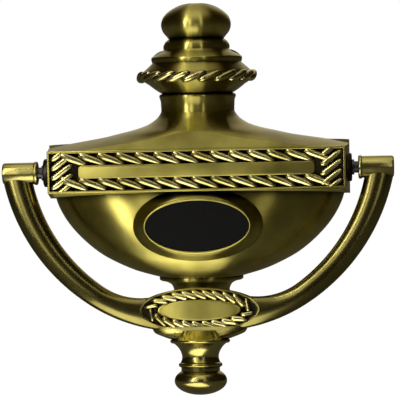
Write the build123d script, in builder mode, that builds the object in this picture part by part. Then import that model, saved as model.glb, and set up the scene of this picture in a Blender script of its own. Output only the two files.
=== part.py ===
from build123d import *
import math
import os

# Urn door knocker with a door viewer. Millimetres, +Z up.
# The origin lies on the door's face, on the viewer's axis. The front faces -Y, the door lies behind Y = 0.

# Frieze box: its ends and underside widen towards the door
box_width = 114.8
box_top = 29.8
box_bottom = 13.5
box_depth = 24.0
end_flare = 2.1
under_flare = 3.3
wall = 3.0

# Rope border and name bar in the front of the frieze
border = 0.9
recess = 1.6
bar_length = 91.0
bar_height = 5.1
bar_proud = 0.2
bar_corner = 1.0
bar_channel = 0.75
lobe_drop = 0.25
lobe_root = 0.8
row_lobes = 14
row_pitch = 7.25
row_slant = 28.0
row_radius = 1.75
row_end = 50.0
column_lobes = 5
column_pitch = 3.6
column_slant = 38.0
column_radius = 1.3
column_inner = 48.4
strand_length = 12.0

# Roof: height, half width and depth of its rounded sections, from the box up to the neck
roof_sections = [
    (29.2, 64.5, 36.0),
    (31.8, 51.0, 29.6),
    (34.2, 36.5, 26.0),
    (36.4, 27.0, 24.0),
    (38.4, 20.5, 20.6),
    (41.2, 16.2, 16.6),
    (43.7, 14.5, 14.5),
]

# Upper finial: neck, rope ring, dish, collar and knob, each standing on the one below
neck_radius = 14.5
neck_foot = 1.5
neck_length = 7.2
neck_lip = 15.1
neck_lip_height = 1.7
neck_groove = 13.8
ring_rise = 6.7
ring_band = 22.7
ring_half_height = 1.7
ring_chamfer = 1.2
skirt_height = 5.3
dish_radius = 17.9
dish_edge = 2.3
dish_rise = 2.7
collar_radius = 12.9
collar_height = 3.7
collar_neck = 10.4
knob_lift = 6.2
knob_radius = 13.8
knob_half_height = 8.4
profile_ease = 0.4
ring_lobes = 11
ring_slant = 33.0
ring_lobe_radius = 1.35
ring_lobe_length = 6.4
ring_reach = 23.8
ring_rope_half = 1.9

# Shares of a knob's radius and half height at which its outline changes arcs
knob_pole = 0.15
knob_crown = (0.55, 0.85)
knob_side = (0.86, 0.51)

# Bowl: height, half width and depth of its sections, from the foot up into the box
bowl_sections = [
    (-21.6, 17.1, 13.4),
    (-20.6, 20.1, 13.6),
    (-18.2, 27.6, 17.2),
    (-13.6, 37.1, 20.3),
    (-8.7, 43.9, 21.1),
    (-2.4, 50.2, 21.0),
    (4.0, 54.6, 20.4),
    (10.4, 57.2, 19.6),
    (17.0, 57.6, 19.0),
]

# Foot below the bowl, flattened towards the door
foot_ledge = 16.6
foot_ledge_top = -20.4
foot_ledge_bottom = -23.1
foot_waist = 11.1
foot_waist_height = -27.0
foot_base = 15.0
foot_base_top = -31.5
foot_bottom = -38.2
foot_flat = 0.78

# Raised oval boss with the viewer window
window_width = 39.6
window_height = 19.6
window_thickness = 2.2
window_recess = 0.5
window_gap = 0.1
boss_proud = 0.7
boss_rim = 0.9
boss_slope = 35.0
boss_length = 12.0

# Pivot axis, pins and washers
pivot_y = -13.0
pivot_z = 21.0
pin_radius = 2.25
pin_gap = 0.06
pin_head_radius = 4.0
pin_head_length = 1.6
pin_boss_radius = 5.5
pin_boss_face = 60.0
pin_boss_inside = 54.0
pin_cap = 3.2
slot_width = 1.0
slot_depth = 0.8
washer_radius = 2.95
washer_thickness = 0.9

# Knocker arm, drawn upright about the pivot axis and then leant forward
arm_lean = 6.0
arm_radius = 72.0
arm_centre_z = 32.7
arm_start_z = 18.6
arm_end_angle = 78.0
arm_steps = 9
arm_flare_angle = 56.0
arm_flare = 3.6
arm_flare_shift = 4.4
arm_width_top = 10.8
arm_width_end = 7.6
arm_back = 3.2
arm_side = 0.8
arm_crown_top = 3.4
arm_crown_end = 4.0
barrel_radius = 4.25
barrel_inner = 63.8
barrel_outer = 76.2
barrel_chamfer = 0.6
barrel_collar_radius = 4.6
barrel_collar_face = 62.5
barrel_blind = 0.5

# Oval on the arm
oval_z = -33.05
oval_border_x = 24.2
oval_border_z = 8.6
oval_field_x = 22.2
oval_field_z = 7.7
oval_plate_x = 16.5
oval_plate_z = 4.1
oval_rim = 3.0
oval_front = 3.4
oval_floor = 1.9
oval_lobes = 22
oval_slant = 35.0
oval_lobe_radius = 1.15
oval_lobe_length = 4.4
strike_radius = 5.5
strike_height = 1.4
strike_gap = 0.3
strike_pad_radius = 6.0

# Dish and lower finial on the arm
dish_sections = [
    (-39.4, 18.6, 3.6),
    (-41.2, 17.7, 4.6),
    (-42.8, 15.1, 6.0),
    (-44.4, 11.4, 7.6),
]
tail_collar = 11.6
tail_collar_top = -44.2
tail_collar_bottom = -45.8
tail_shoulder = 8.2
tail_shoulder_height = -47.4
tail_waist = 7.1
tail_waist_height = -50.5
tail_ring = 8.4
tail_ring_height = -54.1
tail_ring_half = 0.7
tail_ease = 0.3
tail_groove = 7.5
tail_knob = 10.2
tail_knob_half_height = 5.5
tail_knob_height = -60.2

# Door and the viewer through it
door_thickness = 44.0
front_tube_radius = 5.2
front_bore = 4.2
front_shoulder_bore = 3.5
front_flange_radius = 8.2
front_flange_thickness = 1.2
front_tube_end = 24.0
fit_gap = 0.05
objective_gap = 3.4
lens_pitch = 8.0
lens_thickness = 2.4
lens_hollow = 1.0
lens_hollow_rim = 3.6
retainer_thickness = 1.2
viewer_boss_radius = 8.8
sleeve_radius = 6.2
sleeve_start = 6.0
sleeve_bore = 4.4
sleeve_flange_radius = 9.5
sleeve_flange_thickness = 1.8
eye_lens_radius = 4.6
eye_lens_thickness = 2.0
eye_ring_thickness = 0.8
eye_ring_bore = 3.4
thread_run = 20.0

# Through-door screws and cup washers
screw_spacing = 64.0
screw_radius = 2.05
screw_gap = 0.06
screw_boss_radius = 4.6
screw_depth = 12.0
screw_head_radius = 3.8
screw_head_height = 2.2
cup_radius = 6.5
cup_height = 2.0
cup_wall = 0.8

box_middle = (box_top + box_bottom) / 2
box_height = box_top - box_bottom
roof_top = roof_sections[-1][0]
neck_groove_height = roof_top + neck_length
ring_height = neck_groove_height + ring_rise
dish_bottom = ring_height + skirt_height
dish_top = dish_bottom + dish_edge
collar_bottom = dish_top + dish_rise
collar_top = collar_bottom + collar_height
knob_height = collar_top + knob_lift
boss_front = box_depth + boss_proud
window_seat = boss_front - window_recess - window_thickness
objective_y = objective_gap - window_seat
second_lens_y = objective_y + lens_pitch
pin_end = barrel_outer - pin_cap
lean = math.radians(arm_lean)
visitor = (0, -1, 0)


def front_plane(depth):
    """Plane parallel to the door, this far in front of it, facing the visitor."""
    return Plane.XZ.offset(depth)


def upright(z):
    """Height in the upright arm of what hangs at height z once the arm leans forward."""
    return pivot_z - (pivot_z - z) / math.cos(lean)


def drafted_box(inset, low, high, depth):
    """Block on the door's face; its ends draw in and its underside rises towards the front."""
    share = depth / box_depth
    with BuildPart() as block:
        for plane, ends, under in (
            (Plane.XZ, end_flare, 0),
            (front_plane(depth), end_flare * (1 - share), under_flare * share),
        ):
            with BuildSketch(plane):
                with Locations((0, (low + under + high) / 2)):
                    Rectangle(box_width + 2 * (ends - inset), high - low - under)
        loft()
    return block.part


def roof_form(inset, depth):
    """Trumpet roof: round at the neck, cut flat by the front and the ends of the box."""
    with BuildPart() as roof:
        for height, half_width, half_depth in roof_sections:
            with BuildSketch(Plane.XY.offset(height - inset)):
                Ellipse(half_width - inset, half_depth - inset)
        loft(ruled=inset > 0)
        add(drafted_box(inset, box_bottom, 2 * roof_top, depth), mode=Mode.INTERSECT)
    return roof.part


def bowl_form(inset):
    """Bowl, wide and shallow at the top, rounder towards the foot."""
    with BuildPart() as bowl:
        for height, half_width, depth in bowl_sections:
            with BuildSketch(Plane.XY.offset(height + 0.6 * inset)):
                Ellipse(half_width - inset, depth - inset)
        loft(ruled=inset > 0)
    return bowl.part


def rope_lobe(radius, length):
    """One half-round strand of a rope moulding, lying along X."""
    with BuildPart() as lobe:
        with BuildSketch(Plane.YZ.offset(-length / 2)):
            Circle(radius)
            Rectangle(2 * radius, radius + lobe_root, align=(Align.CENTER, Align.MAX), mode=Mode.SUBTRACT)
            Rectangle(2 * radius, lobe_root, align=(Align.CENTER, Align.MAX))
        extrude(amount=length)
    return lobe.part


def strand_place(point, along, outward, slant):
    """Where a strand lies: on the surface at point, turned by slant from the rope's own direction."""
    return Plane(origin=point, x_dir=along, z_dir=outward).rotated((0, 0, slant)).location


# Rope border of the frieze: slanting strands in two rows and two end columns
row_bottom = bar_height / 2 + bar_channel
row_height = box_height / 2 - border / 2 - row_bottom
column_outer = (box_width - border) / 2
with BuildPart() as row_rope:
    with Locations(*[
        strand_place(
            ((number - (row_lobes - 1) / 2) * row_pitch, row_radius + lobe_drop - box_depth,
             box_middle + side * (row_bottom + row_height / 2)),
            (1, 0, 0), visitor, -row_slant,
        )
        for side in (-1, 1)
        for number in range(row_lobes)
    ]):
        add(rope_lobe(row_radius, strand_length))
    with BuildSketch(Plane.XZ):
        for side in (-1, 1):
            with Locations((0, box_middle + side * (row_bottom + row_height / 2))):
                Rectangle(2 * row_end, row_height)
    extrude(amount=box_depth, mode=Mode.INTERSECT)

with BuildPart() as column_rope:
    with Locations(*[
        strand_place(
            (side * (column_inner + column_outer) / 2, column_radius + lobe_drop - box_depth,
             box_middle + (number - (column_lobes - 1) / 2) * column_pitch),
            (1, 0, 0), visitor, column_slant,
        )
        for side in (-1, 1)
        for number in range(column_lobes)
    ]):
        add(rope_lobe(column_radius, strand_length))
    with BuildSketch(Plane.XZ):
        for side in (-1, 1):
            with Locations((side * (column_inner + column_outer) / 2, box_middle)):
                Rectangle(column_outer - column_inner, box_height - border)
    extrude(amount=box_depth, mode=Mode.INTERSECT)

def knob_point(radius, middle, half_height, shares):
    """Point of a knob's outline at these shares of its radius and half height."""
    return (shares[0] * radius, middle + shares[1] * half_height)


# Points shared by the arcs of the upper finial
knob_axis_top = (0, knob_height + knob_half_height)
knob_pole_edge = knob_point(knob_radius, knob_height, knob_half_height, (knob_pole, 1))
knob_upper = knob_point(knob_radius, knob_height, knob_half_height, knob_side)
knob_lower = knob_point(knob_radius, knob_height, -knob_half_height, knob_side)
knob_neck = (collar_neck, collar_top)
dish_shoulder = (dish_radius - profile_ease, dish_top)
dish_foot = (dish_radius - profile_ease, dish_bottom)
ring_upper = (ring_band - ring_chamfer, ring_height + ring_half_height)
ring_lower = (ring_band - ring_chamfer, ring_height - ring_half_height)
lip_top = (neck_lip - profile_ease, neck_groove_height - profile_ease)
lip_foot = (neck_lip - profile_ease, neck_groove_height - neck_lip_height - profile_ease)

# Rope around the front half of the ring, cut level above and below
ring_places = []
for number in range(ring_lobes):
    turn = math.pi * (number - (ring_lobes - 1) / 2) / ring_lobes
    outward = Vector(math.sin(turn), -math.cos(turn), 0)
    centre = outward * (ring_reach - ring_lobe_radius) + Vector(0, 0, ring_height)
    ring_places.append(strand_place(centre, (math.cos(turn), math.sin(turn), 0), outward, ring_slant))
with BuildPart() as ring_rope:
    with Locations(*ring_places):
        add(rope_lobe(ring_lobe_radius, ring_lobe_length))
    with Locations((0, 0, ring_height)):
        Cylinder(ring_reach + ring_lobe_radius, 2 * ring_rope_half, mode=Mode.INTERSECT)

# Upper finial, turned about the vertical axis
with BuildPart() as finial:
    with BuildSketch(Plane.XZ):
        with BuildLine():
            Line(knob_axis_top, knob_pole_edge)
            ThreePointArc(
                knob_pole_edge,
                knob_point(knob_radius, knob_height, knob_half_height, knob_crown),
                knob_upper,
            )
            ThreePointArc(knob_upper, (knob_radius, knob_height), knob_lower)
            Line(knob_lower, knob_neck)
            ThreePointArc(
                knob_neck,
                (collar_radius - profile_ease / 2, collar_top - collar_height / 3),
                (collar_radius, collar_bottom),
            )
            ThreePointArc(
                (collar_radius, collar_bottom),
                ((collar_radius + dish_radius) / 2 + profile_ease, collar_bottom - profile_ease * dish_rise),
                dish_shoulder,
            )
            ThreePointArc(dish_shoulder, (dish_radius, dish_top - profile_ease * dish_edge), dish_foot)
            Polyline(
                dish_foot,
                ring_upper,
                (ring_band, ring_height + ring_half_height - ring_chamfer),
                (ring_band, ring_height - ring_half_height + ring_chamfer),
                ring_lower,
            )
            ThreePointArc(
                ring_lower,
                ((2 * neck_groove + ring_band) / 3 + profile_ease, ring_height - 2 * ring_rise / 3),
                (neck_groove, neck_groove_height),
            )
            Line((neck_groove, neck_groove_height), lip_top)
            ThreePointArc(lip_top, (neck_lip, neck_groove_height - neck_lip_height / 2), lip_foot)
            Polyline(
                lip_foot,
                (neck_radius, roof_top + neck_foot),
                (neck_radius, roof_top),
                (0, roof_top),
                knob_axis_top,
            )
        make_face()
    revolve(axis=Axis.Z)
    add(ring_rope.part)

# Hollow inside the upper finial
with BuildPart() as finial_hollow:
    with BuildSketch(Plane.XZ):
        with BuildLine():
            Polyline(
                (0, knob_height + knob_half_height - wall),
                (knob_crown[0] * knob_radius, knob_height + knob_half_height - 1.3 * wall),
                (knob_radius - wall, knob_height),
                (collar_radius - 1.3 * wall, collar_top),
                (collar_radius - wall, collar_bottom - wall),
                (dish_radius - wall, dish_bottom - wall),
                (ring_band - 2.3 * wall, ring_height),
                (neck_radius - wall, neck_groove_height),
                (neck_radius - wall, roof_top - 2 * wall),
                (0, roof_top - 2 * wall),
                (0, knob_height + knob_half_height - wall),
            )
        make_face()
    revolve(axis=Axis.Z)


def foot_form(inset):
    """Ledge, waist and base below the bowl."""
    with BuildPart() as foot:
        with BuildSketch(Plane.XZ):
            with BuildLine():
                Line((0, foot_ledge_top + 2 * inset), (foot_ledge - inset, foot_ledge_top + 2 * inset))
                Line((foot_ledge - inset, foot_ledge_top + 2 * inset), (foot_ledge - inset, foot_ledge_bottom))
                ThreePointArc(
                    (foot_ledge - inset, foot_ledge_bottom),
                    (foot_waist + 1.0 - inset, foot_waist_height + 2.2),
                    (foot_waist - inset, foot_waist_height),
                )
                ThreePointArc(
                    (foot_waist - inset, foot_waist_height),
                    (foot_waist + 1.2 - inset, foot_base_top + 1.6),
                    (foot_base - inset, foot_base_top),
                )
                Line((foot_base - inset, foot_base_top), (foot_base - inset, foot_bottom + inset))
                Line((foot_base - inset, foot_bottom + inset), (0, foot_bottom + inset))
                Line((0, foot_bottom + inset), (0, foot_ledge_top + 2 * inset))
            make_face()
        revolve(axis=Axis.Z)
        scale(by=(1, foot_flat, 1))
    return foot.part


# Strike point: where the back of the arm's boss meets the foot
strike_drop = (pivot_z - oval_z) / math.cos(lean)
strike_reach = arm_back + strike_height + strike_gap
strike_face = Plane(
    origin=(
        0,
        pivot_y - strike_drop * math.sin(lean) + strike_reach * math.cos(lean),
        pivot_z - strike_drop * math.cos(lean) - strike_reach * math.sin(lean),
    ),
    x_dir=(1, 0, 0),
    z_dir=(0, -math.cos(lean), math.sin(lean)),
)

# Hollow of the box, open towards the door
boss_growth = boss_length * math.tan(math.radians(boss_slope))
field_depth = box_depth - recess
with BuildPart() as box_hollow:
    add(drafted_box(wall, box_bottom - under_flare + wall, box_top - wall, field_depth - wall))

# Urn: one hollow casting with the finial, roof, frieze, bowl, window boss and foot
with BuildPart() as urn_body:
    add(drafted_box(0, box_bottom - under_flare, box_top, box_depth))
    add(roof_form(0, box_depth))
    add(bowl_form(0))
    add(foot_form(0))
    add(finial.part)
    with BuildSketch(front_plane(boss_front)):
        Ellipse(window_width / 2 + boss_rim, window_height / 2 + boss_rim)
    with BuildSketch(front_plane(boss_front - boss_length)):
        Ellipse(window_width / 2 + boss_rim + boss_growth, window_height / 2 + boss_rim + boss_growth)
    loft()
    split(bisect_by=Plane.XZ, keep=Keep.TOP)
    add(box_hollow.part, mode=Mode.SUBTRACT)
    add(roof_form(wall, field_depth - wall), mode=Mode.SUBTRACT)
    add(bowl_form(wall), mode=Mode.SUBTRACT)
    add(foot_form(wall), mode=Mode.SUBTRACT)
    add(finial_hollow.part, mode=Mode.SUBTRACT)

    # frieze field with its name bar and rope
    with BuildSketch(front_plane(box_depth + border)):
        with Locations((0, box_middle)):
            Rectangle(box_width - 2 * border, box_height - 2 * border)
    extrude(amount=-border - recess, mode=Mode.SUBTRACT)
    with BuildSketch(front_plane(field_depth - recess)):
        with Locations((0, box_middle)):
            RectangleRounded(bar_length, bar_height, bar_corner)
    extrude(amount=2 * recess + bar_proud)
    add(row_rope.part)
    add(column_rope.part)

    # strike pad, pivot bosses, screw bosses and the boss around the viewer
    with BuildSketch(strike_face):
        Circle(strike_pad_radius)
    extrude(amount=-wall)
    with Locations(*[
        Location((side * (pin_boss_face + pin_boss_inside) / 2, pivot_y, pivot_z), (0, 90, 0)) for side in (-1, 1)
    ]):
        Cylinder(pin_boss_radius, pin_boss_face - pin_boss_inside)
    with BuildSketch(Plane.XZ):
        with Locations((-screw_spacing / 2, box_middle), (screw_spacing / 2, box_middle)):
            Circle(screw_boss_radius)
    extrude(amount=field_depth - wall / 2)
    with BuildSketch(Plane.XZ):
        Circle(viewer_boss_radius)
    extrude(amount=window_seat - window_thickness)

    # window seat, flange seat and bores
    with BuildSketch(front_plane(boss_front)):
        Ellipse(window_width / 2 + window_gap, window_height / 2 + window_gap)
    extrude(amount=window_seat - boss_front, mode=Mode.SUBTRACT)
    with BuildSketch(front_plane(window_seat)):
        Circle(front_flange_radius + window_gap)
    extrude(amount=-front_flange_thickness, mode=Mode.SUBTRACT)
    with BuildSketch(Plane.XZ):
        Circle(front_tube_radius + fit_gap)
    extrude(amount=window_seat, mode=Mode.SUBTRACT)
    with BuildSketch(Plane.XZ):
        with Locations((-screw_spacing / 2, box_middle), (screw_spacing / 2, box_middle)):
            Circle(screw_radius + screw_gap)
    extrude(amount=screw_depth + 1, mode=Mode.SUBTRACT)
    with Locations(*[
        Location((side * (pin_boss_face + pin_boss_inside) / 2, pivot_y, pivot_z), (0, 90, 0)) for side in (-1, 1)
    ]):
        Cylinder(pin_radius + pin_gap, pin_boss_face - pin_boss_inside, mode=Mode.SUBTRACT)
urn_body.part.label = "urn_body"

# Window pane
with BuildPart() as viewer_window:
    with BuildSketch(front_plane(window_seat)):
        Ellipse(window_width / 2, window_height / 2)
    extrude(amount=window_thickness)
viewer_window.part.label = "viewer_window"

# Viewer: outer tube with its lenses, from the seat behind the window to the middle of the door
tube_length = window_seat + front_tube_end
shoulder_y = second_lens_y + lens_thickness
with BuildPart() as viewer_front_barrel:
    with BuildSketch(front_plane(window_seat)):
        Circle(front_flange_radius)
    extrude(amount=-front_flange_thickness)
    with BuildSketch(front_plane(window_seat)):
        Circle(front_tube_radius)
    extrude(amount=-tube_length)
    with BuildSketch(front_plane(window_seat)):
        Circle(front_shoulder_bore)
    extrude(amount=-tube_length, mode=Mode.SUBTRACT)
    with BuildSketch(front_plane(window_seat)):
        Circle(front_bore + fit_gap)
    extrude(amount=-window_seat - shoulder_y, mode=Mode.SUBTRACT)
viewer_front_barrel.part.label = "viewer_front_barrel"

# Lenses: the front two are hollow towards the door, the eyepiece is flat
lens_hollow_radius = (lens_hollow_rim ** 2 + lens_hollow ** 2) / (2 * lens_hollow)
with BuildPart() as objective_lens:
    with BuildSketch(front_plane(-objective_y)):
        Circle(front_bore)
    extrude(amount=-lens_thickness)
    with Locations((0, objective_y + lens_thickness - lens_hollow + lens_hollow_radius, 0)):
        Sphere(lens_hollow_radius, mode=Mode.SUBTRACT)
objective_lens.part.label = "objective_lens"

with BuildPart() as second_lens:
    add(objective_lens.part.moved(Location((0, second_lens_y - objective_y, 0))))
second_lens.part.label = "second_lens"

with BuildPart() as lens_spacer:
    with BuildSketch(front_plane(-second_lens_y)):
        Circle(front_bore)
        Circle(front_shoulder_bore, mode=Mode.SUBTRACT)
    extrude(amount=second_lens_y - objective_y - lens_thickness)
lens_spacer.part.label = "lens_spacer"

with BuildPart() as lens_retaining_ring:
    with BuildSketch(front_plane(-objective_y)):
        Circle(front_bore)
        Circle(front_shoulder_bore, mode=Mode.SUBTRACT)
    extrude(amount=retainer_thickness)
    with Locations((0, objective_y - retainer_thickness, 0)):
        Box(2 * front_bore, slot_depth, slot_width, mode=Mode.SUBTRACT)
lens_retaining_ring.part.label = "lens_retaining_ring"

# Inner tube: screws over the outer one and clamps on the room side
eye_seat = door_thickness + sleeve_flange_thickness - eye_ring_thickness - eye_lens_thickness
with BuildPart() as viewer_rear_barrel:
    with BuildSketch(front_plane(-sleeve_start)):
        Circle(sleeve_radius)
    extrude(amount=sleeve_start - door_thickness - sleeve_flange_thickness)
    with BuildSketch(front_plane(-door_thickness)):
        Circle(sleeve_flange_radius)
    extrude(amount=-sleeve_flange_thickness)
    with BuildSketch(front_plane(-sleeve_start)):
        Circle(sleeve_bore)
    extrude(amount=sleeve_start - door_thickness - sleeve_flange_thickness, mode=Mode.SUBTRACT)
    with BuildSketch(front_plane(-sleeve_start)):
        Circle(front_tube_radius + fit_gap)
    extrude(amount=-thread_run, mode=Mode.SUBTRACT)
    with BuildSketch(front_plane(-eye_seat)):
        Circle(eye_lens_radius + fit_gap)
    extrude(amount=eye_seat - door_thickness - sleeve_flange_thickness, mode=Mode.SUBTRACT)
    with Locations((0, door_thickness + sleeve_flange_thickness, 0)):
        Box(2 * sleeve_flange_radius, 2 * slot_depth, slot_width, mode=Mode.SUBTRACT)
viewer_rear_barrel.part.label = "viewer_rear_barrel"

with BuildPart() as eyepiece_lens:
    with BuildSketch(front_plane(-eye_seat)):
        Circle(eye_lens_radius)
    extrude(amount=-eye_lens_thickness)
eyepiece_lens.part.label = "eyepiece_lens"

with BuildPart() as eyepiece_ring:
    with BuildSketch(front_plane(-eye_seat - eye_lens_thickness)):
        Circle(eye_lens_radius)
        Circle(eye_ring_bore, mode=Mode.SUBTRACT)
    extrude(amount=-eye_ring_thickness)
eyepiece_ring.part.label = "eyepiece_ring"

# Knocker arm, drawn upright
oval_height = upright(oval_z)
start_angle = math.degrees(math.asin((arm_centre_z - arm_start_z) / arm_radius))
with BuildPart() as arm_half:
    for step in range(arm_steps + 1):
        share = step / arm_steps
        angle = math.radians(start_angle + share * (arm_end_angle - start_angle))
        flare = max(0, (math.degrees(angle) - arm_flare_angle) / (arm_end_angle - arm_flare_angle))
        half = (arm_width_top + share * (arm_width_end - arm_width_top)) / 2 + arm_flare * flare ** 2
        crown = arm_crown_top + share * (arm_crown_end - arm_crown_top) - flare * (arm_crown_end - oval_rim)
        reach = arm_radius - arm_flare_shift * flare ** 2
        section = Plane(
            origin=(
                reach * math.cos(angle),
                pivot_y,
                upright(arm_centre_z - reach * math.sin(angle)),
            ),
            x_dir=(math.cos(angle), 0, -math.sin(angle)),
            z_dir=(-math.sin(angle), 0, -math.cos(angle)),
        )
        with BuildSketch(section):
            with BuildLine():
                Polyline((half, arm_side), (half, -arm_back), (-half, -arm_back), (-half, arm_side))
                ThreePointArc((-half, arm_side), (0, crown), (half, arm_side))
            make_face()
    loft()

# Dish under the oval and the turned lower finial
dish_start = upright(dish_sections[0][0])
knob_middle = upright(tail_knob_height)
tail_upper = knob_point(tail_knob, knob_middle, tail_knob_half_height, knob_side)
tail_lower = knob_point(tail_knob, knob_middle, -tail_knob_half_height, knob_side)
tail_pole_edge = knob_point(tail_knob, knob_middle, -tail_knob_half_height, (knob_pole, 1))
with BuildPart() as tail:
    with BuildSketch(Plane.XZ):
        with BuildLine():
            Line((0, dish_start), (tail_waist, dish_start))
            Line((tail_waist, dish_start), (tail_collar - 2 * tail_ease, upright(tail_collar_top)))
            ThreePointArc(
                (tail_collar - 2 * tail_ease, upright(tail_collar_top)),
                (tail_collar, upright((tail_collar_top + tail_collar_bottom) / 2)),
                (tail_collar - 2 * tail_ease, upright(tail_collar_bottom)),
            )
            ThreePointArc(
                (tail_collar - 2 * tail_ease, upright(tail_collar_bottom)),
                (tail_shoulder, upright(tail_shoulder_height)),
                (tail_waist, upright(tail_waist_height)),
            )
            ThreePointArc(
                (tail_waist, upright(tail_waist_height)),
                (tail_waist + tail_ease, upright((tail_waist_height + tail_ring_height) / 2)),
                (tail_ring - tail_ease, upright(tail_ring_height + tail_ring_half)),
            )
            ThreePointArc(
                (tail_ring - tail_ease, upright(tail_ring_height + tail_ring_half)),
                (tail_ring, upright(tail_ring_height)),
                (tail_ring - tail_ease, upright(tail_ring_height - tail_ring_half)),
            )
            Polyline(
                (tail_ring - tail_ease, upright(tail_ring_height - tail_ring_half)),
                (tail_groove, upright(tail_ring_height - tail_ring_half - tail_ease)),
                (tail_groove, knob_middle + knob_crown[1] * knob_crown[1] * tail_knob_half_height),
                tail_upper,
            )
            ThreePointArc(tail_upper, (tail_knob, knob_middle), tail_lower)
            ThreePointArc(
                tail_lower,
                knob_point(tail_knob, knob_middle, -tail_knob_half_height, knob_crown),
                tail_pole_edge,
            )
            Line(tail_pole_edge, (0, knob_middle - tail_knob_half_height))
            Line((0, knob_middle - tail_knob_half_height), (0, dish_start))
        make_face()
    revolve(axis=Axis.Z)
    for height, half_width, depth in dish_sections:
        with BuildSketch(Plane.XY.offset(upright(height))):
            Ellipse(half_width, depth)
    loft(ruled=True)

# Rope around the oval plate
oval_plane = front_plane(-pivot_y)
with BuildLine(oval_plane) as rope_path:
    EllipticalCenterArc(
        (0, oval_height), (oval_field_x + oval_plate_x) / 2, (oval_field_z + oval_plate_z) / 2, 0, arc_size=360
    )
rope_depth = Vector(0, oval_lobe_radius + lobe_drop - oval_front, 0)
with BuildPart() as oval_rope:
    with Locations(*[
        strand_place(
            rope_path.line @ (number / oval_lobes) + rope_depth,
            rope_path.line % (number / oval_lobes),
            visitor, -oval_slant,
        )
        for number in range(oval_lobes)
    ]):
        add(rope_lobe(oval_lobe_radius, oval_lobe_length))

# The whole arm, leant forward about the pivot axis
pivot_axis = Axis((0, pivot_y, pivot_z), (1, 0, 0))
with BuildPart() as arm_upright:
    add(arm_half.part)
    add(mirror(arm_half.part, about=Plane.YZ))
    barrel_length = barrel_outer - barrel_inner - barrel_chamfer
    for side in (-1, 1):
        middle = side * (barrel_inner + barrel_length / 2)
        with Locations(Location((middle, pivot_y, pivot_z), (0, 90, 0))):
            Cylinder(barrel_radius, barrel_length)
        tip = side * (barrel_outer - barrel_chamfer / 2)
        with Locations(Location((tip, pivot_y, pivot_z), (0, side * 90, 0))):
            Cone(barrel_radius, barrel_radius - barrel_chamfer, barrel_chamfer)
    with BuildSketch(oval_plane.offset(-arm_back)):
        with Locations((0, oval_height)):
            Ellipse(oval_border_x, oval_border_z)
    extrude(amount=arm_back + oval_rim)
    with BuildSketch(oval_plane.offset(oval_floor)):
        with Locations((0, oval_height)):
            Ellipse(oval_field_x, oval_field_z)
    extrude(amount=arm_crown_end, mode=Mode.SUBTRACT)
    with BuildSketch(oval_plane):
        with Locations((0, oval_height)):
            Ellipse(oval_plate_x, oval_plate_z)
    extrude(amount=oval_front)
    add(oval_rope.part)
    add(tail.part.moved(Location((0, pivot_y, 0))))
    with BuildSketch(oval_plane.offset(-arm_back)):
        with Locations((0, oval_height)):
            Circle(strike_radius)
    extrude(amount=-strike_height)
    for side in (-1, 1):
        collar_length = barrel_inner - barrel_collar_face
        with Locations(Location((side * (barrel_inner - collar_length / 2), pivot_y, pivot_z), (0, 90, 0))):
            Cylinder(barrel_collar_radius, collar_length)
        bore_length = pin_end + barrel_blind - barrel_collar_face
        with Locations(Location((side * (barrel_collar_face + bore_length / 2), pivot_y, pivot_z), (0, 90, 0))):
            Cylinder(pin_radius + pin_gap, bore_length, mode=Mode.SUBTRACT)

with BuildPart() as knocker_arm:
    add(arm_upright.part.rotate(pivot_axis, -arm_lean))
knocker_arm.part.label = "knocker_arm"

# Pins with slotted heads inside the box, and the washers beside the arm
pieces = [
    urn_body, knocker_arm, viewer_window, viewer_front_barrel, objective_lens, second_lens, lens_spacer,
    lens_retaining_ring, viewer_rear_barrel, eyepiece_lens, eyepiece_ring,
]
for side, name in ((-1, "left"), (1, "right")):
    with BuildPart() as pivot_pin:
        with Locations(Location((side * (pin_boss_inside + pin_end) / 2, pivot_y, pivot_z), (0, 90, 0))):
            Cylinder(pin_radius, pin_end - pin_boss_inside)
        with Locations(Location((side * (pin_boss_inside - pin_head_length / 2), pivot_y, pivot_z), (0, 90, 0))):
            Cylinder(pin_head_radius, pin_head_length)
        with Locations((side * (pin_boss_inside - pin_head_length), pivot_y, pivot_z)):
            Box(2 * slot_depth, slot_width, 2 * pin_head_radius, mode=Mode.SUBTRACT)
    pivot_pin.part.label = "pivot_pin_" + name
    with BuildPart() as pivot_washer:
        with Locations(Location((side * (pin_boss_face + washer_thickness / 2), pivot_y, pivot_z), (0, 90, 0))):
            Cylinder(washer_radius, washer_thickness)
            Cylinder(pin_radius + pin_gap, washer_thickness, mode=Mode.SUBTRACT)
    pivot_washer.part.label = "pivot_washer_" + name

    # through-door screw with its cup washer on the room side
    screw_x = side * screw_spacing / 2
    head_start = door_thickness + cup_wall
    with BuildPart() as mounting_screw:
        with BuildSketch(front_plane(screw_depth)):
            with Locations((screw_x, box_middle)):
                Circle(screw_radius)
        extrude(amount=-screw_depth - head_start)
        with BuildSketch(front_plane(-head_start)):
            with Locations((screw_x, box_middle)):
                Circle(screw_head_radius)
        extrude(amount=-screw_head_height)
        with Locations((screw_x, head_start + screw_head_height, box_middle)):
            Box(2 * screw_head_radius, 2 * slot_depth, slot_width, mode=Mode.SUBTRACT)
    mounting_screw.part.label = "mounting_screw_" + name
    with BuildPart() as cup_washer:
        with BuildSketch(front_plane(-door_thickness)):
            with Locations((screw_x, box_middle)):
                Circle(cup_radius)
        extrude(amount=-cup_height)
        with BuildSketch(front_plane(-head_start)):
            with Locations((screw_x, box_middle)):
                Circle(screw_head_radius + screw_gap)
        extrude(amount=-cup_height, mode=Mode.SUBTRACT)
        with BuildSketch(front_plane(-door_thickness)):
            with Locations((screw_x, box_middle)):
                Circle(screw_radius + screw_gap)
        extrude(amount=-cup_height, mode=Mode.SUBTRACT)
    cup_washer.part.label = "cup_washer_" + name
    pieces += [pivot_pin, pivot_washer, mounting_screw, cup_washer]

os.makedirs("parts", exist_ok=True)
for piece in pieces:
    export_step(piece.part, "parts/" + piece.part.label + ".step")
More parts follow.
